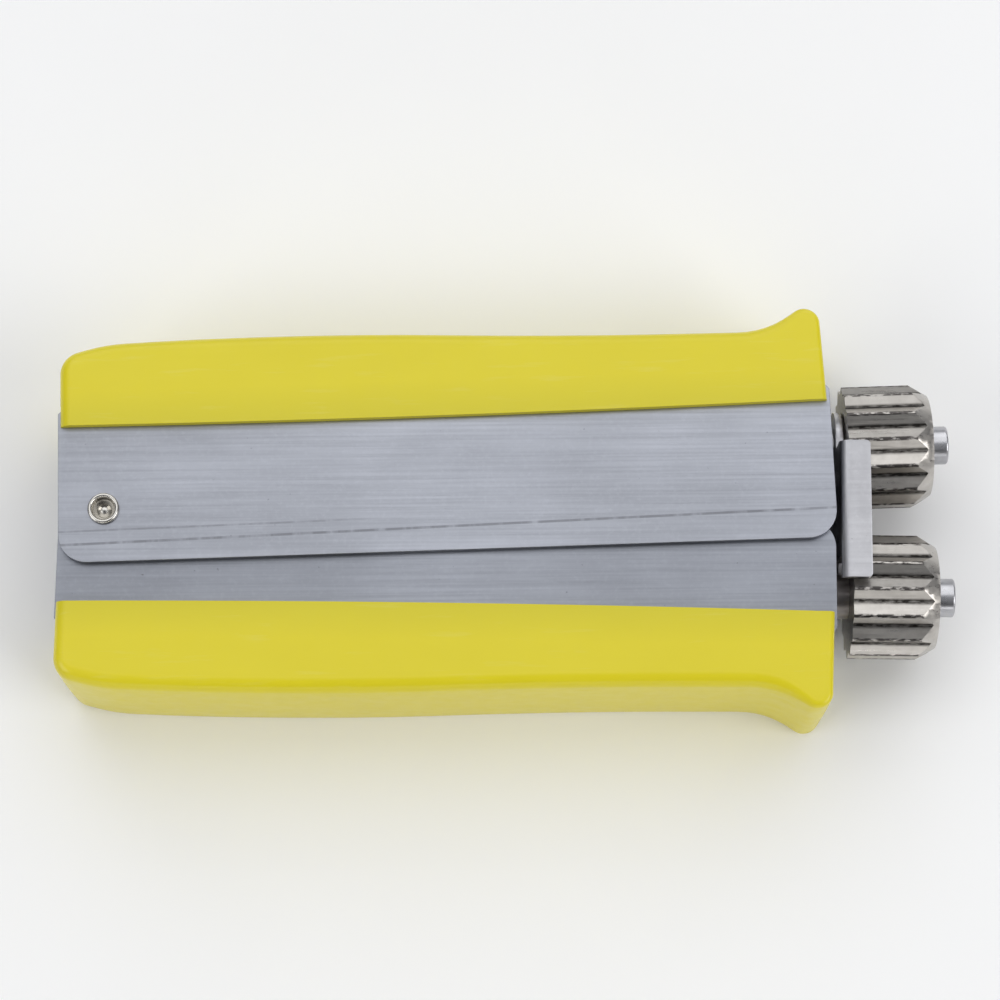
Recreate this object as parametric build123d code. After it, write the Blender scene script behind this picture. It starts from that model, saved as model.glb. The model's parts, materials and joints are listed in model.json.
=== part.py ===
from build123d import *
import math
import os

# A squeeze tool with two toothed rollers at its nose, lying on its side.
# Lengths are in millimetres. +X runs from the rear rivet to the rollers, +Y towards the
# upper (outer) handle, +Z up through the thickness. The origin is under the middle of the
# whole tool. Each handle is drawn with the tool closed flat: x from the rivet, y from the
# tool's centre line and z from the middle of the thickness. place() then opens it.

# Whole tool
rivet_x = -57.7
rivet_y = 0.74
middle_z = 11.4
open_angle = 1.35
running_gap = 0.05

# Sheet-steel frames
sheet = 1.0
frame_rear = -6.5
frame_front = 104.6
frame_back = 21.5
frame_reach = 7.0
cheek_corner = 4.2
taper_start = 20.0
tapered_reach = 0.6
step_y = 15.0
step_run = 1.5
step_rear = 1.7
step_front = 1.2
outer_half_width = 10.2
inner_half_width = 9.05
bend_outer = 1.5
bend_inner = 0.5

# Front tab that carries the axle
tab_face = frame_front - step_front
tab_half_width = 7.7
tab_reach = 4.0
tab_corner = 4.0
axle_y = 8.6
axle_hole = 1.55

# Grips
grip_rear = -6.2
grip_front = 104.1
grip_half_width = 11.4
grip_edge_rear = 12.95
grip_edge_middle = 12.6
grip_edge_front = 13.15
grip_round = 1.6
grip_tip_round = 1.7
grip_end_wall_y = 16.2
grip_end_wall_x = -5.4

# Grip screws, driven from inside the channel
screw_places = (18.0, 82.0)
screw_radius = 1.1
screw_end = 23.8
screw_head_radius = 2.25
screw_head = 1.5
cross_slot = 0.5
cross_depth = 0.7

# Rear rivet, its sleeve and the return spring
rivet_radius = 2.0
rivet_head_radius = 2.3
rivet_head = 0.6
rivet_bore = 1.55
rivet_recess = 1.5
rivet_tip = 0.45
sleeve_radius = 3.0
sleeve_half_length = 8.0
spring_wire = 0.55
spring_radius = 3.85
spring_pitch = 1.35
spring_full_turns = 5
spring_leg_x = 35.0
spring_foot_x = 42.0
spring_leg_y = 19.1
spring_bend = 6.0

# Rollers and what holds them
roller_rear = 107.15
roller_front = 119.6
roller_radius = 9.0
roller_face_radius = 6.35
roller_chamfer = 1.6
roller_bore = 2.3
groove_count = 14
groove_root = 7.95
groove_lean = 0.16
groove_past = 0.2
tooth_land = 0.3
upper_phase = 19.8
lower_phase = 17.0
bushing_radius = 2.25
bushing_bore = 1.55
collar_radius = 3.2
collar_face = roller_rear - running_gap
bushing_front = roller_front + running_gap
front_washer = 0.3
front_washer_radius = 4.4
shank_radius = 1.5
head_radius = 2.8
head_length = 2.5
head_round = 0.35
socket_flats = 2.5
socket_depth = 1.3
lock_washer = 0.7
lock_washer_radius = 2.7
lock_washer_split = 0.5
nut_flats = 5.5
nut_length = 2.4
screw_past_nut = 0.5

# Bridge bracket across the two axles. It sits a little out of square on the upper axle.
bridge_tilt = -2.6
bridge_rear = 105.7
bridge_front = bridge_rear + sheet
bridge_slack = 0.16
flange_front = 110.1
flange_top = 7.3
flange_bottom = -12.8
web_bottom = -9.4
ear_radius = 5.3
fork_half_width = 3.4
fork_centre = -9.6
flange_corner = 0.6


def place(shape, side):
    """Open a piece drawn closed: side is 1 for the upper handle and -1 for the lower one."""
    turned = Pos(0, rivet_y, 0) * Rot(0, 0, side * open_angle) * Pos(0, -rivet_y, 0) * shape
    return Pos(rivet_x, 0, middle_z) * turned


def on_side(shape, side):
    """Give a piece drawn for the upper handle to the lower one by mirroring it."""
    return shape if side > 0 else mirror(shape, about=Plane.XZ)


def rod_along_x(radius, start, end):
    """A solid cylinder along the upper axle."""
    return Pos((start + end) / 2, axle_y, 0) * Rot(0, 90, 0) * Cylinder(radius, end - start)


def tube_along_x(radius, bore, start, end):
    return rod_along_x(radius, start, end) - rod_along_x(bore, start - 1, end + 1)


def box_between(low, high):
    size = [h - l for l, h in zip(low, high)]
    middle = [(l + h) / 2 for l, h in zip(low, high)]
    return Pos(*middle) * Box(*size)


def cheek_face(front_reach):
    """Side view of a frame: a long plate with two round corners and two stepped ones."""
    points = [
        (frame_rear, -frame_reach),
        (taper_start, -frame_reach),
        (frame_front, -front_reach),
        (frame_front, step_y),
        (tab_face, step_y + step_run),
        (tab_face, frame_back),
        (frame_rear + step_rear, frame_back),
        (frame_rear + step_rear, step_y + step_run),
        (frame_rear, step_y),
    ]
    face = make_face(Polyline(*points, close=True))
    free_edge = [v for v in face.vertices() if v.Y < 0 and abs(v.X - taper_start) > 1]
    return fillet(free_edge, cheek_corner)


def channel(half_width, front_reach):
    """U-shaped sheet channel, open towards the other handle."""
    block = Pos(0, 0, -half_width) * extrude(cheek_face(front_reach), 2 * half_width)
    bends = block.edges().filter_by(Axis.X).group_by(Axis.Y)[-1]
    block = fillet(bends, bend_outer)
    inside = box_between(
        (frame_rear - 1, -frame_reach - 1, sheet - half_width),
        (frame_front + 1, frame_back - sheet, half_width - sheet),
    )
    inner_bends = inside.edges().filter_by(Axis.X).group_by(Axis.Y)[-1]
    return block - fillet(inner_bends, bend_inner)


def front_tab():
    """Tab folded down from the web at the front, with the axle hole in it."""
    overlap = sheet / 2
    height = frame_back - overlap - tab_reach
    middle = tab_reach + height / 2
    outline = Plane.YZ.offset(tab_face - sheet) * Pos(middle, 0) * Rectangle(height, 2 * tab_half_width)
    low = outline.vertices().group_by(Axis.Y)[0]
    return extrude(fillet(low, tab_corner), sheet, dir=(1, 0, 0))


def frame(side, half_width):
    """A handle's frame. The inner cheeks narrow towards the nose and the outer ones don't."""
    front_reach = frame_reach if side > 0 else tapered_reach
    body = channel(half_width, front_reach) + front_tab()
    body -= rod_along_x(axle_hole, tab_face - 3 * sheet, tab_face + sheet)
    for x in screw_places:
        hole_middle = frame_back - sheet / 2
        body -= Pos(x, hole_middle, 0) * Rot(90, 0, 0) * Cylinder(screw_radius + running_gap, 3 * sheet)
    rivet_hole = Pos(0, rivet_y * side, 0) * Cylinder(rivet_radius + running_gap, 4 * half_width)
    return on_side(body - rivet_hole, side)


def grip_face():
    """Side view of a grip: a low swell behind, a waist, and a flared guard in front."""
    edge = ThreePointArc(
        (grip_front, grip_edge_front), (40.0, grip_edge_middle), (grip_rear, grip_edge_rear)
    )
    corners = [
        (grip_rear, grip_edge_rear),
        (grip_rear, 23.7),
        (0.5, 25.45),
        (27.0, 26.35),
        (66.0, 24.35),
        (95.9, 24.0),
        (103.6, 28.9),
        (grip_front, grip_edge_front),
    ]
    rounds = [3.4, 26.0, 480.0, 800.0, 14.0, grip_tip_round]
    return make_face([edge, FilletPolyline(*corners, radius=rounds)])


def grip(side, half_width):
    """Moulded cap over a channel's back, with a pocket that fits the frame."""
    block = Pos(0, 0, -grip_half_width) * extrude(grip_face(), 2 * grip_half_width)
    rims = block.faces().filter_by(Axis.Z).edges()
    outer_rims = [e for e in rims if (e @ 0.5).Y > grip_edge_front + 0.5]
    block = fillet(outer_rims, grip_round)
    room = half_width + running_gap
    low_pocket = box_between(
        (grip_rear - 1, 0, -room), (grip_front + 1, grip_end_wall_y, room)
    )
    high_pocket = box_between(
        (grip_end_wall_x, 0, -room), (grip_front + 1, frame_back + running_gap, room)
    )
    block = block - low_pocket - high_pocket
    for x in screw_places:
        block -= Pos(x, frame_back, 0) * Rot(90, 0, 0) * Cylinder(
            screw_radius + running_gap / 2, 2 * (screw_end - frame_back) + 0.4
        )
    return on_side(block, side)


def grip_screw(x):
    """Pan-head screw from inside the channel into the grip."""
    head_top = frame_back - sheet
    shank = Pos(x, (head_top + screw_end) / 2, 0) * Rot(90, 0, 0) * Cylinder(
        screw_radius, screw_end - head_top
    )
    head = Pos(x, head_top - screw_head / 2, 0) * Rot(90, 0, 0) * Cylinder(
        screw_head_radius, screw_head
    )
    head_rim = head.edges().group_by(Axis.Y)[0]
    screw = shank + fillet(head_rim, cross_slot)
    low = head_top - screw_head
    for size_x, size_z in ((2.6, cross_slot), (cross_slot, 2.6)):
        screw -= Pos(x, low, 0) * Box(size_x, 2 * cross_depth, size_z)
    return screw


def grip_screws(side):
    rear_x, front_x = screw_places
    return on_side(grip_screw(rear_x) + grip_screw(front_x), side)


def pivot_rivet():
    """Tubular rivet: a rolled rim round a recess on top, a low dome underneath."""
    top = outer_half_width + running_gap + rivet_head
    floor = top - rivet_recess
    seat = outer_half_width + running_gap
    profile = make_face(
        [
            Line((0, -top), (rivet_bore, -top)),
            ThreePointArc(
                (rivet_bore, -top), (2.07, rivet_head * 0.7 - top), (rivet_head_radius, -seat)
            ),
            Line((rivet_head_radius, -seat), (rivet_radius, -seat)),
            Line((rivet_radius, -seat), (rivet_radius, seat)),
            Line((rivet_radius, seat), (rivet_head_radius, seat)),
            ThreePointArc(
                (rivet_head_radius, seat), ((rivet_bore + rivet_head_radius) / 2, top), (rivet_bore, seat)
            ),
            Line((rivet_bore, seat), (rivet_bore, floor)),
            Line((rivet_bore, floor), (rivet_tip, floor)),
            Line((rivet_tip, floor), (0, floor + rivet_tip)),
            Line((0, floor + rivet_tip), (0, -top)),
        ]
    )
    return Pos(0, rivet_y, 0) * revolve(Plane.XZ * profile, Axis.Z)


def pivot_sleeve():
    """Spacer tube between the inner cheeks, round the rivet."""
    tube = Cylinder(sleeve_radius, 2 * sleeve_half_length)
    tube -= Cylinder(rivet_radius + running_gap, 3 * sleeve_half_length)
    return Pos(0, rivet_y, 0) * tube


def return_spring():
    """Torsion spring: a coil round the sleeve and a leg along each channel's web."""
    reach = math.hypot(spring_leg_x, spring_leg_y)
    lean = math.atan2(spring_leg_y, spring_leg_x) + math.asin(-spring_radius / reach)
    half_angle = math.pi / 2 + lean
    turns = spring_full_turns + (2 * math.pi - 2 * half_angle) / (2 * math.pi)
    height = turns * spring_pitch
    coil = Helix(spring_pitch, height, spring_radius, lefthand=True)
    coil = Pos(0, 0, -height / 2) * Rot(0, 0, -math.degrees(half_angle)) * coil
    slope = spring_pitch / (2 * math.pi * spring_radius)

    def leg(start, sign):
        rise = sign * slope * math.dist((start.X, start.Y), (spring_leg_x, sign * spring_leg_y))
        knee = Vector(spring_leg_x, sign * spring_leg_y, start.Z + rise)
        toe = Vector(spring_foot_x, sign * spring_leg_y, knee.Z)
        return FilletPolyline(start, knee, toe, radius=spring_bend)

    path = Wire([*leg(coil @ 0, -1).edges(), coil, *leg(coil @ 1, 1).edges()])
    start_point = path @ 0
    section = Plane(origin=start_point, z_dir=path % 0) * Circle(spring_wire)
    return Pos(0, rivet_y, 0) * sweep(section, path=path, is_frenet=True)


def groove_face(side):
    """Section of one wide V groove. Its root leans a little, so one flank is the steeper."""
    lip_angle = math.pi / groove_count - tooth_land / 2 / roller_radius
    lip_y = roller_radius * math.sin(lip_angle)
    lip_z = roller_radius * math.cos(lip_angle)
    root_y = side * groove_lean
    past = roller_radius + groove_past
    grow = (past - groove_root) / (lip_z - groove_root)
    left = root_y + (-lip_y - root_y) * grow
    right = root_y + (lip_y - root_y) * grow
    return make_face(Polyline((root_y, groove_root), (right, past), (left, past), close=True))


def roller(side):
    """Nickel-plated roller with straight V teeth and a coned front."""
    blank = rod_along_x(roller_radius, roller_rear, roller_front)
    front_rim = blank.edges().filter_by(GeomType.CIRCLE).sort_by(Axis.X)[-1]
    cone = roller_radius - roller_face_radius
    face = blank.faces().sort_by(Axis.X)[-1]
    blank = chamfer(front_rim, roller_chamfer, cone, reference=face)
    length = roller_front - roller_rear + 2
    groove = Pos(roller_rear - 1, 0, 0) * extrude(Plane.YZ * groove_face(side), length, dir=(1, 0, 0))
    phase = upper_phase if side > 0 else -lower_phase
    for i in range(groove_count):
        turn = phase + i * 360 / groove_count
        blank -= Pos(0, axle_y, 0) * Rot(turn, 0, 0) * groove
    return on_side(blank - rod_along_x(roller_bore, roller_rear - 1, roller_front + 1), side)


def axle_screw(side):
    """Socket-head screw that is the axle."""
    head_rear = bushing_front + front_washer
    head_front = head_rear + head_length
    nut_rear = tab_face - sheet - lock_washer - nut_length
    head = rod_along_x(head_radius, head_rear, head_front)
    head = fillet(head.edges().filter_by(GeomType.CIRCLE).sort_by(Axis.X)[-1], head_round)
    screw = head + rod_along_x(shank_radius, nut_rear - screw_past_nut, head_rear)
    socket = Plane.YZ.offset(head_front - socket_depth) * Pos(axle_y, 0) * RegularPolygon(
        socket_flats / 2, 6, major_radius=False
    )
    return on_side(screw - extrude(socket, 2 * socket_depth, dir=(1, 0, 0)), side)


def bushing(side):
    """Flanged bushing: a tube the roller turns on and a collar behind it."""
    collar_rear = bridge_front + bridge_slack if side > 0 else tab_face
    body = rod_along_x(bushing_radius, collar_rear, bushing_front)
    body += rod_along_x(collar_radius, collar_rear, collar_face)
    return on_side(body - rod_along_x(bushing_bore, collar_rear - 1, bushing_front + 1), side)


def upper_spacer():
    return tube_along_x(collar_radius, axle_hole, tab_face, bridge_rear - bridge_slack)


def front_washer_disc(side):
    disc = tube_along_x(front_washer_radius, axle_hole, bushing_front, bushing_front + front_washer)
    return on_side(disc, side)


def split_lock_washer(side):
    rear = tab_face - sheet - lock_washer
    ring = tube_along_x(lock_washer_radius, axle_hole, rear, rear + lock_washer)
    cut = Pos(rear, axle_y + lock_washer_radius, 0) * Box(4, 2 * lock_washer_radius, lock_washer_split)
    return on_side(ring - cut, side)


def axle_nut(side):
    front = tab_face - sheet - lock_washer
    hexagon = Plane.YZ.offset(front - nut_length) * Pos(axle_y, 0) * RegularPolygon(
        nut_flats / 2, 6, major_radius=False
    )
    nut = extrude(hexagon, nut_length, dir=(1, 0, 0))
    return on_side(nut - rod_along_x(shank_radius + 0.02, front - nut_length - 1, front + 1), side)


def bridge_bracket():
    """U bracket held on the upper axle and forked over the lower axle's collar."""
    width = 2 * outer_half_width
    height = flange_top - flange_bottom
    depth = flange_front - bridge_rear
    block = Pos(bridge_rear + depth / 2, flange_bottom + height / 2, 0) * Box(depth, height, width)
    block = fillet(block.edges().filter_by(Axis.Y).group_by(Axis.X)[0], bend_outer)
    hollow = Pos(bridge_front + depth / 2, flange_bottom + height / 2, 0) * Box(
        depth, height + 2, width - 2 * sheet
    )
    block -= fillet(hollow.edges().filter_by(Axis.Y).group_by(Axis.X)[0], bend_inner)
    block = fillet(block.edges().filter_by(Axis.Z).group_by(Axis.X)[-1], flange_corner)
    ear_low = flange_top - sheet
    ear = rod_along_x(ear_radius, bridge_rear, bridge_front)
    ear += box_between((bridge_rear, ear_low, -ear_radius), (bridge_front, axle_y, ear_radius))
    block += ear
    block -= rod_along_x(axle_hole + running_gap, bridge_rear - 1, bridge_front + 1)
    fork = Pos(bridge_rear, fork_centre, 0) * Rot(0, 90, 0) * Cylinder(fork_half_width, 4 * sheet)
    fork += box_between(
        (bridge_rear - sheet, flange_bottom - 1, -fork_half_width),
        (bridge_front + sheet, fork_centre, fork_half_width),
    )
    inside_half = outer_half_width - sheet
    fork += box_between(
        (bridge_rear - sheet, flange_bottom - 1, -inside_half), (bridge_front, web_bottom, inside_half)
    )
    on_axle = Pos(bridge_rear, axle_y, 0)
    return on_axle * Rot(0, 0, bridge_tilt) * Pos(-bridge_rear, -axle_y, 0) * (block - fork)


def build_parts():
    """Every piece of the tool, by name, in its place."""
    parts = {
        "pivot_rivet": place(pivot_rivet(), -1),
        "pivot_sleeve": place(pivot_sleeve(), -1),
        "return_spring": Pos(rivet_x, 0, middle_z) * return_spring(),
        "upper_spacer": place(upper_spacer(), 1),
        "bridge_bracket": place(bridge_bracket(), 1),
    }
    for name, side, half_width in (("upper", 1, outer_half_width), ("lower", -1, inner_half_width)):
        pieces = {
            "frame": frame(side, half_width),
            "grip": grip(side, half_width),
            "grip_screws": grip_screws(side),
            "axle_screw": axle_screw(side),
            "bushing": bushing(side),
            "front_washer": front_washer_disc(side),
            "lock_washer": split_lock_washer(side),
            "axle_nut": axle_nut(side),
            "roller": roller(side),
        }
        for piece, shape in pieces.items():
            parts[f"{name}_{piece}"] = place(shape, side)
    return parts


os.makedirs("parts", exist_ok=True)
for node, shape in build_parts().items():
    export_step(shape, f"parts/{node}.step")
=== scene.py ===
import json
import math

import bmesh
import bpy
from mathutils import Euler, Matrix, Vector

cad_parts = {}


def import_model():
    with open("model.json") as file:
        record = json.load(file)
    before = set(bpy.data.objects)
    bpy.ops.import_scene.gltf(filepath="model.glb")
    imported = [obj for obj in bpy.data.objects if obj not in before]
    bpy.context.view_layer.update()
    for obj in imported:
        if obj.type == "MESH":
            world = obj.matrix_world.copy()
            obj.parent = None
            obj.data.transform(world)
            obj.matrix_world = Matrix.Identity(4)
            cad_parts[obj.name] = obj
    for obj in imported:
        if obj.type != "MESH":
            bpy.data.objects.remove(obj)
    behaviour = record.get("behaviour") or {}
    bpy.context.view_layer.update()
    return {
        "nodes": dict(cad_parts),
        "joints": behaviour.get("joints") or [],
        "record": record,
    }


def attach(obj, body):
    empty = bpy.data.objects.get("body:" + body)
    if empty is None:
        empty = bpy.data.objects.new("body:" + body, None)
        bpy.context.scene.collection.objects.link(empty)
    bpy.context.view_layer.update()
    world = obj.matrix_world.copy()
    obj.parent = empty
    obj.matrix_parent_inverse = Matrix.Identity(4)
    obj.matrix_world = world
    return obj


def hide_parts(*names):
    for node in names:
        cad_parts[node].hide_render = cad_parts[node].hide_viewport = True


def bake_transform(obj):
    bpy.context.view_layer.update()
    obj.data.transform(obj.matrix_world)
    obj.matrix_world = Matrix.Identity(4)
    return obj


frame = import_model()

MM = 0.001
TO_CM = 100.0  # a ramp runs from 0 to 1, so it is fed lengths in centimetres

# Where the CAD model says things are. A handle's own lines run along its roller's axle.
joints = {joint["name"]: joint for joint in frame["joints"]}
rivet = Vector(joints["handle_squeeze"]["pos_m"])
axle = joints["upper_roller_spin"]["axis"]
open_angle = math.atan2(axle[1], axle[0])
middle_z = rivet.z


# ---------------------------------------------------------------- materials


class Shader:
    """A Principled material and short ways to build its node tree."""

    def __init__(self, name, color, metallic, roughness, **sockets):
        self.material = bpy.data.materials.new(name)
        self.material.use_nodes = True
        self.tree = self.material.node_tree
        self.main = self.tree.nodes["Principled BSDF"]
        self.set("Base Color", (*color, 1.0))
        self.set("Metallic", metallic)
        self.set("Roughness", roughness)
        for socket, value in sockets.items():
            self.set(socket.replace("_", " "), value)

    def set(self, socket, value):
        self.main.inputs[socket].default_value = value

    def node(self, kind, **inputs):
        """A new node. An input is a number, a colour or another node's output."""
        made = self.tree.nodes.new("ShaderNode" + kind)
        for name, value in inputs.items():
            self.feed(made.inputs[name.replace("_", " ")], value)
        return made

    def feed(self, socket, value):
        if isinstance(value, bpy.types.NodeSocket):
            self.tree.links.new(value, socket)
        else:
            socket.default_value = value

    def place(self, scale, turn=0.0):
        """Object coordinates, in metres, stretched by scale and turned about Z."""
        coordinates = self.node("TexCoord").outputs["Object"]
        mapping = self.node("Mapping", Vector=coordinates)
        mapping.inputs["Rotation"].default_value = (0.0, 0.0, turn)
        mapping.inputs["Scale"].default_value = scale
        return mapping.outputs["Vector"]

    def noise(self, scale, detail=4.0, stretch=(1, 1, 1), turn=0.0, rough=0.55):
        """Noise with about `scale` features a metre, stretched along its axes."""
        node = self.node("TexNoise", Vector=self.place(stretch, turn))
        node.inputs["Scale"].default_value = scale
        node.inputs["Detail"].default_value = detail
        node.inputs["Roughness"].default_value = rough
        return node.outputs["Fac"]

    def ramp(self, fac, *stops):
        """Colour ramp: stops are (position, grey or colour)."""
        node = self.node("ValToRGB", Fac=fac)
        elements = node.color_ramp.elements
        while len(elements) < len(stops):
            elements.new(0.5)
        for element, (position, value) in zip(elements, stops):
            grey = not isinstance(value, tuple)
            element.position = position
            element.color = (value, value, value, 1.0) if grey else (*value, 1.0)
        return node.outputs["Color"]

    def mix(self, fac, a, b, blend="MIX"):
        node = self.tree.nodes.new("ShaderNodeMix")
        node.data_type = "RGBA"
        node.blend_type = blend
        for index, value in ((0, fac), (6, a), (7, b)):
            if isinstance(value, tuple) and len(value) == 3:
                value = (*value, 1.0)
            self.feed(node.inputs[index], value)
        return node.outputs[2]

    def math(self, operation, *values):
        node = self.tree.nodes.new("ShaderNodeMath")
        node.operation = operation
        for socket, value in zip(node.inputs, values):
            self.feed(socket, value)
        return node.outputs[0]

    def row(self, axis):
        """A row-frame coordinate of the CAD's resting pose, in metres."""
        coordinates = self.node("TexCoord").outputs["Object"]
        return self.node("SeparateXYZ", Vector=coordinates).outputs[axis]

    def about(self, place, turn):
        """X, Y and Z in metres in a frame that sits at place, turned about Z."""
        coordinates = self.node("TexCoord").outputs["Object"]
        mapping = self.node("Mapping", Vector=coordinates)
        mapping.vector_type = "TEXTURE"
        mapping.inputs["Location"].default_value = place
        mapping.inputs["Rotation"].default_value = (0.0, 0.0, turn)
        parts = self.node("SeparateXYZ", Vector=mapping.outputs["Vector"])
        return [parts.outputs[axis] for axis in "XYZ"]

    def line(self, x, y, start, slope, width, end):
        """A thin broken scratch along x from a height y, fading out at `end` (millimetres)."""
        track = self.math("MULTIPLY_ADD", x, slope, start * MM)
        off = self.math("ABSOLUTE", self.math("SUBTRACT", y, track))
        thin = self.ramp(self.math("DIVIDE", off, width * MM), (0.35, 1.0), (0.6, 0.0))
        gaps = self.ramp(self.noise(420, 4, (1, 0.1, 1)), (0.36, 0.25), (0.52, 1.0))
        fade = self.ramp(self.math("DIVIDE", x, end * MM), (0.75, 1.0), (1.0, 0.0))
        return self.math("MULTIPLY", self.math("MULTIPLY", thin, gaps), fade)

    def bump(self, height, strength, distance, under=None):
        node = self.node("Bump", Height=height)
        node.inputs["Strength"].default_value = strength
        node.inputs["Distance"].default_value = distance
        if under is not None:
            self.feed(node.inputs["Normal"], under)
        return node.outputs["Normal"]

    def link(self, socket, output):
        self.tree.links.new(output, self.main.inputs[socket])

    def edges(self, low, high):
        """1 on convex edges and 0 elsewhere, from the mesh's own pointiness."""
        point = self.node("NewGeometry").outputs["Pointiness"]
        return self.ramp(point, (low, 0.0), (high, 1.0))


def grip_yellow():
    """Moulded plastic: soft sheen, faint flow marks, fine scuffs and painted shade along the
    metal edge.
    """
    s = Shader("grip_yellow", (0.70, 0.62, 0.05), 0.0, 0.42, IOR=1.48)
    s.set("Subsurface Weight", 0.06)
    s.set("Subsurface Radius", (0.9 * MM, 0.8 * MM, 0.2 * MM))
    s.set("Coat Weight", 0.35)
    s.set("Coat Roughness", 0.16)
    s.set("Specular IOR Level", 0.38)
    flow = s.noise(60, 3, (1, 2.2, 1))
    tint = s.mix(flow, (0.70, 0.595, 0.006), (0.745, 0.64, 0.012))
    # Painted shade: a little darker within 5 mm of the edge that lies on the metal, where the
    # thin plastic loses light into the metal below.
    slope = math.tan(open_angle)
    edge_start = GRIP_CORNERS[0][1] * MM - slope * rivet.x
    edge = s.math("MULTIPLY_ADD", s.row("X"), slope, edge_start)
    inward = s.math("SUBTRACT", s.math("ABSOLUTE", s.row("Y")), edge)
    metal_edge_shade = s.ramp(s.math("MULTIPLY", inward, TO_CM), (0.0, 0.5), (0.5, 0.0))
    tint = s.mix(metal_edge_shade, tint, (0.56, 0.50, 0.014))
    scuff = s.ramp(s.noise(900, 6, (0.12, 1, 1)), (0.60, 0.0), (0.74, 1.0))
    s.link("Base Color", s.mix(s.math("MULTIPLY", scuff, 0.10), tint, (0.80, 0.76, 0.30)))
    s.link("Roughness", s.ramp(s.noise(420, 5), (0.3, 0.38), (0.7, 0.50)))
    fine = s.bump(s.noise(5200, 3), 0.10, 0.05 * MM)
    s.link("Normal", s.bump(flow, 0.10, 0.20 * MM, fine))
    return s.material


# Long scratches on the upper frame, in its handle's frame: height in mm at the rivet, slope,
# width in mm, end in mm, strength and grey.
SCRATCHES = [(-5.04, 0.0157, 0.38, 130, 0.6, 0.07), (-3.15, 0.010, 0.30, 40, 0.4, 0.08)]


def brushed_sheet(name, color, dark, rough, line_turn=0.0, scratched=False):
    """Satin sheet steel: fine lengthwise brush lines, clouding, pits and a few long scratches."""
    s = Shader(name, color, 1.0, rough)
    s.set("Anisotropic", 0.35)
    lines = s.noise(2600, 5, (0.012, 1, 1), line_turn, 0.7)
    broad = s.noise(700, 3, (0.02, 1, 1), line_turn)
    cloud = s.noise(55, 5, (0.6, 1, 1), line_turn)
    grain = s.noise(1500, 5)
    tone = s.mix(s.ramp(cloud, (0.32, 0.0), (0.72, 0.75)), color, dark)
    tone = s.mix(s.ramp(lines, (0.45, 0.0), (0.75, 0.30)), tone, dark)
    tone = s.mix(s.ramp(broad, (0.50, 0.0), (0.78, 0.4)), tone, dark)
    bright = tuple(min(1.0, 1.35 * c) for c in color)
    tone = s.mix(s.ramp(grain, (0.50, 0.0), (0.85, 0.20)), tone, bright)
    specks = s.ramp(s.noise(1300, 2), (0.745, 0.0), (0.80, 0.5))
    tone = s.mix(specks, tone, (0.06, 0.06, 0.065))
    if scratched:
        x, y, _ = s.about(rivet, open_angle)
        for start, slope, width, end, strength, grey in SCRATCHES:
            mark = s.math("MULTIPLY", s.line(x, y, start, slope, width, end), strength)
            tone = s.mix(mark, tone, (grey, grey, grey + 0.005))
    worn = s.edges(0.53, 0.60)
    polished = tuple(min(1.0, 1.5 * c) for c in color)
    tone = s.mix(s.math("MULTIPLY", worn, 0.5), tone, polished)
    s.link("Base Color", tone)
    s.link("Roughness", s.ramp(lines, (0.3, rough - 0.07), (0.7, rough + 0.09)))
    dents = s.bump(cloud, 0.12, 0.10 * MM)
    s.link("Normal", s.bump(lines, 0.22, 0.012 * MM, dents))
    return s.material


def turned_steel(name, color, rough, stretch=(1, 0.05, 0.05)):
    """Machined steel with marks that run round the part."""
    s = Shader(name, color, 1.0, rough)
    rings = s.noise(3000, 3, stretch)
    stain = s.noise(300, 4)
    dull = tuple(0.72 * c for c in color)
    s.link("Base Color", s.mix(s.ramp(stain, (0.4, 0.0), (0.7, 0.5)), color, dull))
    s.link("Roughness", s.ramp(stain, (0.3, rough - 0.07), (0.7, rough + 0.1)))
    s.link("Normal", s.bump(rings, 0.18, 0.02 * MM))
    return s.material


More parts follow.
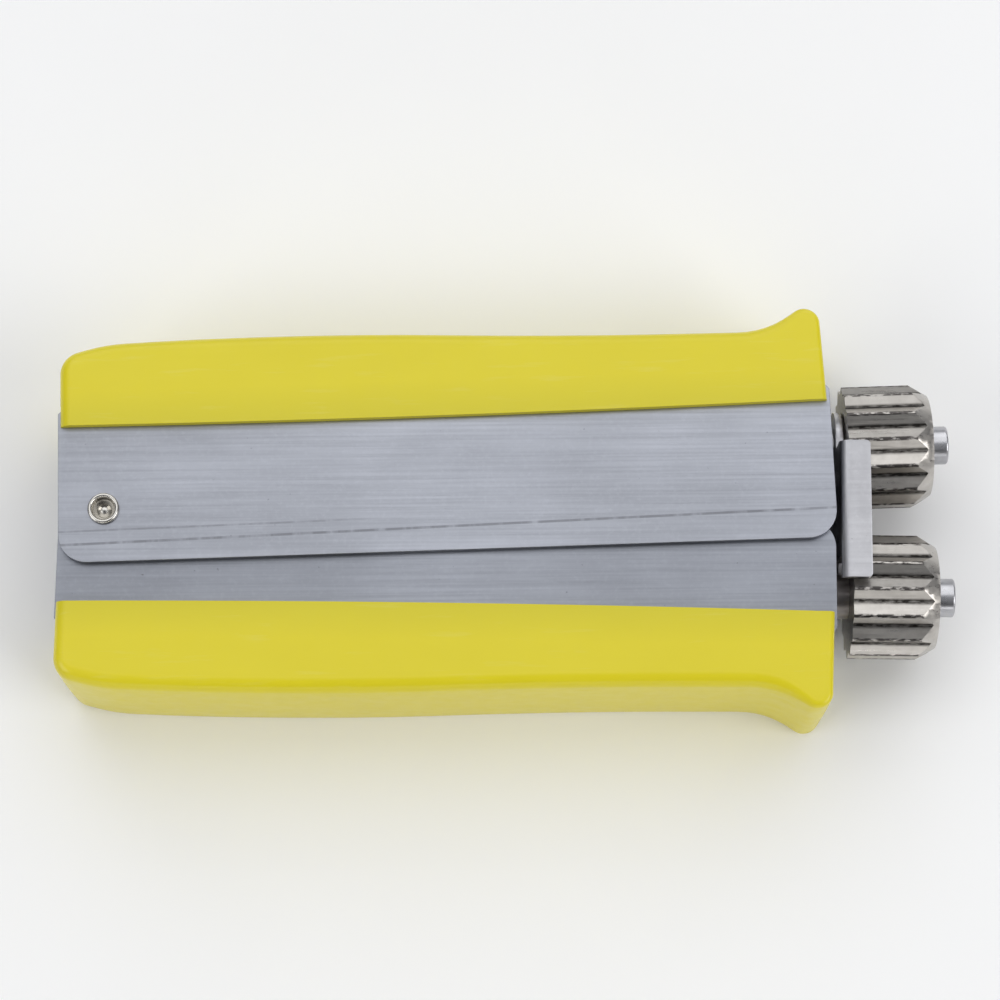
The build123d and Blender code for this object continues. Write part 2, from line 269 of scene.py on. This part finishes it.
def roller_nickel(name, side):
    """Nickel over milled teeth: grime and painted shade in the roots, a ragged dark line on the
    tips, painted shade on one flank of each tooth.
    """
    color = (0.56, 0.535, 0.50)
    s = Shader(name, color, 1.0, 0.3)
    joint = joints["upper_roller_spin" if side > 0 else "lower_roller_spin"]
    _, y, z = s.about(joint["pos_m"], side * open_angle)
    radius = s.math("SQRT", s.math("ADD", s.math("MULTIPLY", y, y), s.math("MULTIPLY", z, z)))
    normal = s.node("SeparateXYZ", Vector=s.node("TexCoord").outputs["Normal"])
    crosswise = s.math(
        "SUBTRACT",
        s.math("MULTIPLY", z, normal.outputs["Y"]),
        s.math("MULTIPLY", y, normal.outputs["Z"]),
    )
    lean = s.math("DIVIDE", crosswise, radius)
    painted_flank_shade = s.ramp(s.math("MULTIPLY", lean, -1.0), (0.15, 0.0), (0.30, 1.0))
    radius_cm = s.math("MULTIPLY", radius, TO_CM)
    around = s.ramp(s.math("ABSOLUTE", normal.outputs["X"]), (0.35, 1.0), (0.45, 0.0))
    root = s.math("MULTIPLY", s.ramp(radius_cm, (0.805, 1.0), (0.822, 0.0)), around)
    tip = s.ramp(radius_cm, (0.885, 0.0), (0.893, 1.0))
    ragged = s.noise(2600, 4, (0.35, 1, 1))
    drag = s.noise(2400, 4, (0.05, 1, 1), rough=0.65)
    mottle = s.noise(650, 5)
    tone = s.mix(s.ramp(mottle, (0.36, 0.0), (0.72, 0.55)), color, (0.40, 0.375, 0.345))
    # Painted shade: one flank of every tooth is painted darker, standing in for the dark floor it
    # reflects.
    tone = s.mix(s.math("MULTIPLY", painted_flank_shade, 0.35), tone, (0.20, 0.19, 0.175))
    # A ragged near-black line is painted along the tooth tips.
    tip_dark_line = s.math("MULTIPLY", tip, s.ramp(ragged, (0.40, 0.0), (0.52, 0.9)))
    tone = s.mix(tip_dark_line, tone, (0.035, 0.03, 0.03))
    # The tooth roots are painted near black: grime and painted shade in the groove bottoms.
    root_grime_and_shade = s.math("MULTIPLY", root, s.ramp(ragged, (0.25, 0.6), (0.6, 1.0)))
    tone = s.mix(root_grime_and_shade, tone, (0.02, 0.018, 0.016))
    s.link("Base Color", tone)
    s.link("Roughness", s.ramp(drag, (0.3, 0.24), (0.7, 0.42)))
    s.link("Normal", s.bump(drag, 0.25, 0.03 * MM))
    return s.material


def black_washer():
    """Dark plated washer, worn through in places."""
    s = Shader("black_washer", (0.012, 0.012, 0.013), 0.0, 0.45)
    worn = s.ramp(s.noise(1400, 4), (0.6, 0.0), (0.8, 1.0))
    s.link("Base Color", s.mix(worn, (0.010, 0.010, 0.011), (0.05, 0.05, 0.05)))
    s.link("Normal", s.bump(s.noise(2500, 3), 0.2, 0.02 * MM))
    return s.material


def spring_steel():
    """Drawn wire with fine die marks."""
    s = Shader("spring_steel", (0.20, 0.20, 0.21), 1.0, 0.35)
    draw = s.noise(1800, 4)
    s.link("Base Color", s.mix(draw, (0.14, 0.14, 0.15), (0.30, 0.29, 0.28)))
    s.link("Roughness", s.ramp(draw, (0.3, 0.28), (0.7, 0.48)))
    s.link("Normal", s.bump(draw, 0.15, 0.02 * MM))
    return s.material


def make_materials():
    """One material for each slot of the CAD record."""
    across = math.pi / 2
    outer = (0.385, 0.40, 0.445), (0.24, 0.25, 0.275)
    bracket = (0.50, 0.50, 0.52), (0.37, 0.37, 0.39)
    return {
        "frame_steel": brushed_sheet("frame_steel", *outer, 0.36, scratched=True),
        "bracket_steel": brushed_sheet("bracket_steel", *bracket, 0.34, line_turn=across),
        "grip_yellow": grip_yellow(),
        "roller_nickel": roller_nickel("roller_nickel", 1),
        "axle_steel": turned_steel("axle_steel", (0.52, 0.52, 0.54), 0.3),
        "bushing_steel": turned_steel("bushing_steel", (0.28, 0.26, 0.25), 0.35),
        "zinc_fasteners": turned_steel("zinc_fasteners", (0.55, 0.56, 0.57), 0.32),
        "rivet_nickel": turned_steel("rivet_nickel", (0.62, 0.60, 0.56), 0.22, (0.05, 0.05, 1)),
        "black_washer": black_washer(),
        "spring_steel": spring_steel(),
    }


def own_materials():
    """Nodes that differ a little from the other node of their slot."""
    inner = (0.33, 0.345, 0.385), (0.20, 0.21, 0.235)
    return {
        "lower_roller": roller_nickel("roller_nickel_lower", -1),
        "lower_frame": brushed_sheet("frame_steel_inner", *inner, 0.38),
    }


def paint_cad(materials):
    """Give every carried-over CAD node its own material, or else its slot's."""
    slots = {part["node"]: part["material_slot"] for part in frame["record"]["subparts"]}
    own = own_materials()
    for node, piece in frame["nodes"].items():
        for slot in piece.material_slots:
            slot.material = own.get(node, materials[slots[node]])


# ---------------------------------------------------------------- mesh pieces

# Sizes in millimetres in a closed handle's own frame, as the CAD part draws them:
# x from the rivet, y from the tool's centre line, z from the middle of the thickness.
GRIP_CORNERS = [
    (-6.2, 12.95), (-6.2, 23.7), (0.5, 25.45), (27.0, 26.35), (66.0, 24.35), (95.9, 24.0),
    (103.6, 28.9), (104.1, 13.15),
]
GRIP_RADII = [3.4, 26.0, 480.0, 800.0, 14.0, 2.3]
GRIP_HALF = 11.4
EDGE_SAG = 0.45
FLARE_START = 96.0
RIM = 1.7
FLARE_RIM = 0.85
POCKET_HALF = {1: 10.25, -1: 9.1}
END_WALL_X = -5.4
END_WALL_Y = 16.2
FRAME_BACK = 21.55
SCREW_PLACES = (18.0, 82.0)
SCREW_HOLE = 1.13


def handle_point(side, x, y, z):
    """A point of the upper (1) or lower (-1) handle, opened and in the row frame."""
    turned = Matrix.Rotation(side * open_angle, 3, "Z") @ Vector((x, side * y - rivet.y / MM, z))
    return rivet + turned * MM


def rounded_path(corners, radii, step=1.2):
    """Points and outward normals along an open polyline whose corners are rounded."""
    path = []
    points = [Vector(c) for c in corners]
    start = points[0]
    for before, corner, after, radius in zip(points, points[1:], points[2:], radii):
        into, out = (corner - before).normalized(), (after - corner).normalized()
        turn = into.angle_signed(out)
        reach = radius * math.tan(abs(turn) / 2)
        first = corner - into * reach
        add_line(path, start, first, step)
        count = max(3, int(abs(turn) * radius / step), int(math.degrees(abs(turn)) / 7))
        hand = 1 if turn > 0 else -1
        middle = first - Vector((-into.y, into.x)) * radius * hand
        arm = first - middle
        for i in range(count + 1):
            spoke = Matrix.Rotation(-turn * i / count, 2) @ arm
            path.append((middle + spoke, spoke.normalized() * hand))
        start = corner + out * reach
    add_line(path, start, points[-1], step)
    return path


def add_line(path, start, end, step):
    """Points along a straight run, both of its ends among them."""
    run = end - start
    normal = Vector((-run.y, run.x)).normalized()
    count = max(2, int(run.length / step))
    for i in range(count + 1):
        path.append((start + run * (i / count), normal))


def thin_out(path, least=0.02):
    """The path without the points that repeat the one before."""
    kept = [path[0]]
    for point in path[1:]:
        if (point[0] - kept[-1][0]).length > least:
            kept.append(point)
    return kept


def rim_size(point):
    """How round the grip's rim is here: less over the last 5 mm of the flared guard."""
    nose = max(0.0, min(1.0, (point.x - FLARE_START) / 5.0))
    return RIM - (RIM - FLARE_RIM) * nose


def crown_depth(x):
    """How much lower the back is at its rims than at mid thickness."""
    palm = math.exp(-(((x - 26.0) / 24.0) ** 2))
    return 0.16 + 0.24 * palm


def grip_rings():
    """Closed loops of (x, y, z) from the lower face to the upper one."""
    outer = thin_out(rounded_path(GRIP_CORNERS, GRIP_RADII))
    count = 60
    first, last = outer[0][0], outer[-1][0]

    def inner(t):
        sag = EDGE_SAG * 4 * t * (1 - t)
        return last.y + (first.y - last.y) * t - sag

    # A level is (-1, angle) round the lower rim, (0, z) between and (1, angle) round the upper.
    steps = 7
    angles = [math.pi / 2 * i / steps for i in range(steps + 1)]
    levels = [(-1, angle) for angle in reversed(angles)]
    levels += [(0, z) for z in (-7.0, -4.5, -2.0, 0.0, 2.0, 4.5, 7.0)]
    levels += [(1, angle) for angle in angles]

    rings = []
    for end, value in levels:
        ring = []
        for point, normal in outer:
            rim = rim_size(point)
            if end:
                z = end * (GRIP_HALF - rim + rim * math.sin(value))
                inset = rim * (1 - math.cos(value))
            else:
                z = value
                inset = 0.0
            inset += crown_depth(point.x) * max(0.0, normal.y) * (z / GRIP_HALF) ** 2
            ring.append(Vector((point.x - normal.x * inset, point.y - normal.y * inset, z)))
        start_x, end_x = ring[0].x, ring[-1].x
        z_start, z_end = ring[0].z, ring[-1].z
        for i in range(1, count):
            t = i / count
            x = end_x + (start_x - end_x) * t
            ring.append(Vector((x, inner(t), z_end + (z_start - z_end) * t)))
        rings.append(ring)
    return rings


def solid_from_rings(name, rings, side):
    """A closed body from loops stacked in z, each face capped with a flat middle."""
    size = len(rings[0])
    stack = [pull_in(rings[0])] + rings + [pull_in(rings[-1])]
    vertices = [handle_point(side, p.x, p.y, p.z) for ring in stack for p in ring]
    faces = []
    for level in range(len(stack) - 1):
        low, high = level * size, (level + 1) * size
        for i in range(size):
            j = (i + 1) % size
            faces.append((low + i, low + j, high + j, high + i))
    faces.append(tuple(range(size)))
    faces.append(tuple(range((len(stack) - 1) * size, len(stack) * size)))
    return new_object(name, closed_mesh(name, vertices, faces))


def pull_in(ring, by=0.35):
    """The same loop a little smaller, so that the flat inside it shades flat."""
    pulled = []
    size = len(ring)
    for i, point in enumerate(ring):
        before, after = ring[i - 1], ring[(i + 1) % size]
        run = Vector((after.x - before.x, after.y - before.y)).normalized()
        inward = Vector((run.y, -run.x))
        pulled.append(Vector((point.x + inward.x * by, point.y + inward.y * by, point.z)))
    return pulled


def closed_mesh(name, vertices, faces):
    """A mesh whose faces all look outward."""
    mesh = bpy.data.meshes.new(name)
    mesh.from_pydata(vertices, [], faces)
    shell = bmesh.new()
    shell.from_mesh(mesh)
    bmesh.ops.recalc_face_normals(shell, faces=shell.faces)
    shell.to_mesh(mesh)
    shell.free()
    return mesh


def new_object(name, mesh):
    made = bpy.data.objects.new(name, mesh)
    bpy.context.scene.collection.objects.link(made)
    return made


def block(name, side, low, high):
    """A box in a handle's own frame, used to cut a pocket."""
    xs, ys, zs = zip(low, high)
    corners = [(x, y, z) for x in xs for y in ys for z in zs]
    faces = [(0, 1, 3, 2), (4, 6, 7, 5), (0, 4, 5, 1), (2, 3, 7, 6), (0, 2, 6, 4), (1, 5, 7, 3)]
    vertices = [handle_point(side, *c) for c in corners]
    return new_object(name, closed_mesh(name, vertices, faces))


def rod_hole(name, side, x, radius, low, high, count=24):
    """A round bar along y in a handle's own frame, used to cut a screw's hole."""
    vertices = []
    for y in (low, high):
        for i in range(count):
            a = 2 * math.pi * i / count
            vertices.append(handle_point(side, x + radius * math.cos(a), y, radius * math.sin(a)))
    faces = [(i, (i + 1) % count, count + (i + 1) % count, count + i) for i in range(count)]
    faces += [tuple(range(count)), tuple(range(count, 2 * count))]
    return new_object(name, closed_mesh(name, vertices, faces))


def carve(piece, cutters):
    """Take the cutters away from piece for good, then drop them."""
    for cutter in cutters:
        cut = piece.modifiers.new(cutter.name, "BOOLEAN")
        cut.operation = "DIFFERENCE"
        cut.solver = "EXACT"
        cut.object = cutter
    shaped = bpy.data.meshes.new_from_object(
        piece.evaluated_get(bpy.context.evaluated_depsgraph_get())
    )
    piece.modifiers.clear()
    piece.data = shaped
    for cutter in cutters:
        bpy.data.objects.remove(cutter)


def grip(side, material):
    """Moulded handle cover with a crowned, round-rimmed back."""
    name = "upper_grip" if side > 0 else "lower_grip"
    body = "upper_handle" if side > 0 else "lower_handle"
    piece = solid_from_rings(name + "_mould", grip_rings(), side)
    half = POCKET_HALF[side]
    cutters = [
        block("low_pocket", side, (-8.0, 0.0, -half), (106.0, END_WALL_Y, half)),
        block("high_pocket", side, (END_WALL_X, 0.0, -half), (106.0, FRAME_BACK, half)),
    ]
    for x in SCREW_PLACES:
        cutters.append(rod_hole(f"hole_{x:.0f}", side, x, SCREW_HOLE, 20.0, 24.0))
    carve(piece, cutters)
    piece.data.materials.clear()
    piece.data.materials.append(material)
    round_edges(piece, 0.28 * MM, 45)
    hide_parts(name)
    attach(piece, body)
    return piece


def round_edges(piece, width, angle):
    """Small rounds on a piece's sharp edges, with smooth shading between them."""
    piece.data.polygons.foreach_set("use_smooth", [True] * len(piece.data.polygons))
    bevel = piece.modifiers.new("edges", "BEVEL")
    bevel.limit_method = "ANGLE"
    bevel.angle_limit = math.radians(angle)
    bevel.width = width
    bevel.segments = 2
    bevel.use_clamp_overlap = True
    bevel.harden_normals = True


def lathe(name, profile, centre, count=72):
    """A body turned about a vertical line from (radius, height) points in millimetres."""
    vertices, faces = [], []
    for radius, height in profile:
        for i in range(count):
            a = 2 * math.pi * i / count
            point = Vector((radius * math.cos(a), radius * math.sin(a), height))
            vertices.append(centre + point * MM)
    for level in range(len(profile) - 1):
        low, high = level * count, (level + 1) * count
        for i in range(count):
            j = (i + 1) % count
            faces.append((low + i, low + j, high + j, high + i))
    faces.append(tuple(range(count))[::-1])
    faces.append(tuple(range((len(profile) - 1) * count, len(profile) * count)))
    mesh = closed_mesh(name, vertices, faces)
    mesh.polygons.foreach_set("use_smooth", [True] * len(mesh.polygons))
    mesh.set_sharp_from_angle(angle=math.radians(40))
    return new_object(name, mesh)


def rolled_rim(inner, outer, seat, top, steps=10):
    """Half a turn of a rim from its outer foot over its crest to the bore."""
    middle, half = (inner + outer) / 2, (outer - inner) / 2
    rim = []
    for i in range(steps + 1):
        a = math.pi * i / steps
        rim.append((middle + half * math.cos(a), seat + (top - seat) * math.sin(a) ** 0.7))
    return rim


def rivet_piece(material):
    """Tubular rivet: rolled rim, and a recess with a low cone in the middle of its floor."""
    foot, seat = -10.85, 10.25
    profile = [(0.02, foot), (1.5, foot), (1.95, foot + 0.12), (2.2, foot + 0.35), (2.28, -seat)]
    profile += [(2.0, -seat), (2.0, seat), (2.28, seat)]
    profile += rolled_rim(1.62, 2.28, seat + 0.02, 10.82)[1:]
    profile += [(1.6, 10.1), (1.55, 9.2), (1.3, 8.8), (1.1, 8.9), (1.0, 9.2)]
    profile += [(0.7, 9.45), (0.4, 9.6), (0.02, 9.7)]
    piece = lathe("rivet_turned", profile, rivet)
    piece.data.materials.append(material)
    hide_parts("pivot_rivet")
    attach(piece, "lower_handle")
    return piece


def spring(material):
    """The return spring's own mesh, copied out of the CAD node."""
    node = frame["nodes"]["return_spring"]
    mesh = node.data.copy()
    mesh.transform(node.matrix_world)
    piece = new_object("spring_wire", mesh)
    mesh.materials.clear()
    mesh.materials.append(material)
    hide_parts("return_spring")
    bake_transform(piece)
    return piece


# ---------------------------------------------------------------- CAD nodes


def soften(node, width, segments=2, angle=25):
    """Round a CAD node's sharp edges a little, as rolled, cut or tumbled metal has them."""
    piece = frame["nodes"][node]
    weld = piece.modifiers.new("weld", "WELD")
    weld.merge_threshold = 0.001 * MM
    merge = piece.modifiers.new("merge", "DECIMATE")
    merge.decimate_type = "DISSOLVE"
    merge.angle_limit = math.radians(0.5)
    bevel = piece.modifiers.new("bevel", "BEVEL")
    bevel.limit_method = "ANGLE"
    bevel.angle_limit = math.radians(angle)
    bevel.width = width
    bevel.segments = segments
    level = piece.modifiers.new("level", "WEIGHTED_NORMAL")
    level.mode = "FACE_AREA"
    level.weight = 100
    return piece


# ---------------------------------------------------------------- scene


LENS_LEAN = math.radians(14.0)


def floor():
    """A broad sheet of white paper."""
    bpy.ops.mesh.primitive_plane_add(size=3.0, location=(0, 0, 0))
    sheet = bpy.context.object
    sheet.name = "floor"
    paper = Shader("paper", (0.95, 0.95, 0.95), 0.0, 0.8)
    tone = paper.mix(paper.noise(40, 3), (0.94, 0.94, 0.94), (0.96, 0.96, 0.96))
    paper.link("Base Color", tone)
    sheet.data.materials.append(paper.material)


def lamp(name, place, aim, width, height, power):
    """A soft box at place that looks at aim."""
    data = bpy.data.lights.new(name, "AREA")
    data.shape = "RECTANGLE"
    data.size = width
    data.size_y = height
    data.energy = power
    made = bpy.data.objects.new(name, data)
    bpy.context.scene.collection.objects.link(made)
    made.location = place
    made.rotation_euler = (Vector(aim) - Vector(place)).to_track_quat("-Z", "Y").to_euler()


def lamps():
    lamp("top", (0.0, 0.44, 0.95), (0, 0, 0), 1.5, 0.75, 3.3)
    lamp("back", (0.0, 1.05, 0.70), (0, 0, 0), 1.6, 0.6, 3.4)
    lamp("left", (-0.95, -0.45, 0.75), (0, -0.06, 0), 0.8, 0.7, 4.6)
    lamp("right", (0.95, -0.45, 0.75), (0, -0.06, 0), 0.8, 0.7, 6.4)
    lamp("front", (0.0, -1.15, 0.32), (0, 0, 0), 1.5, 0.25, 2.6)


def world():
    """A dim sky that is darker low down and towards the lower handle's side."""
    sky = bpy.data.worlds.new("studio")
    bpy.context.scene.world = sky
    sky.use_nodes = True
    nodes, links = sky.node_tree.nodes, sky.node_tree.links
    parts = nodes.new("ShaderNodeSeparateXYZ")
    links.new(nodes.new("ShaderNodeTexCoord").outputs["Generated"], parts.inputs["Vector"])
    lift = nodes.new("ShaderNodeMath")
    lift.operation = "MULTIPLY_ADD"
    lift.inputs[1].default_value = 0.6
    links.new(parts.outputs["Y"], lift.inputs[0])
    links.new(parts.outputs["Z"], lift.inputs[2])
    shade = nodes.new("ShaderNodeValToRGB")
    dark, light = shade.color_ramp.elements
    dark.position = 0.30
    dark.color = (0.05, 0.05, 0.055, 1)
    light.position = 0.95
    light.color = (0.46, 0.47, 0.49, 1)
    links.new(lift.outputs["Value"], shade.inputs["Fac"])
    links.new(shade.outputs["Color"], nodes["Background"].inputs["Color"])


def dark_card():
    """A dark card behind the camera, so that metal facing the lens doesn't glare."""
    bpy.ops.mesh.primitive_circle_add(vertices=48, radius=0.11, fill_type="NGON")
    card = bpy.context.object
    card.name = "dark_card"
    card.rotation_euler = (LENS_LEAN, 0.0, 0.0)
    away = Vector((0.0, -math.sin(LENS_LEAN), math.cos(LENS_LEAN)))
    card.location = Vector((0.0, 0.004, middle_z)) + 0.50 * away
    card.data.materials.append(Shader("card", (0.012, 0.012, 0.012), 0.0, 0.9).material)


def studio():
    floor()
    lamps()
    world()
    dark_card()
    bpy.context.scene.view_settings.view_transform = "Standard"


def camera():
    """A long lens from above, leaning a little towards the lower handle."""
    distance = 450 * MM
    roll = math.radians(-0.65)
    target = Vector((-1.08 * MM, 3.94 * MM, middle_z))
    data = bpy.data.cameras.new("camera")
    data.lens = 110.8
    data.sensor_width = 36.0
    data.clip_start = 0.01
    made = bpy.data.objects.new("camera", data)
    bpy.context.scene.collection.objects.link(made)
    turn = Euler((LENS_LEAN, 0.0, roll))
    made.rotation_euler = turn
    made.location = target + turn.to_matrix() @ Vector((0, 0, distance))
    bpy.context.scene.camera = made


materials = make_materials()
paint_cad(materials)
soften("upper_frame", 0.12 * MM)
soften("lower_frame", 0.12 * MM)
soften("bridge_bracket", 0.12 * MM)
soften("upper_roller", 0.05 * MM, 1, 20)
soften("lower_roller", 0.05 * MM, 1, 20)
for side in (1, -1):
    grip(side, materials["grip_yellow"])
rivet_piece(materials["rivet_nickel"])
spring(materials["spring_steel"])
studio()
camera()
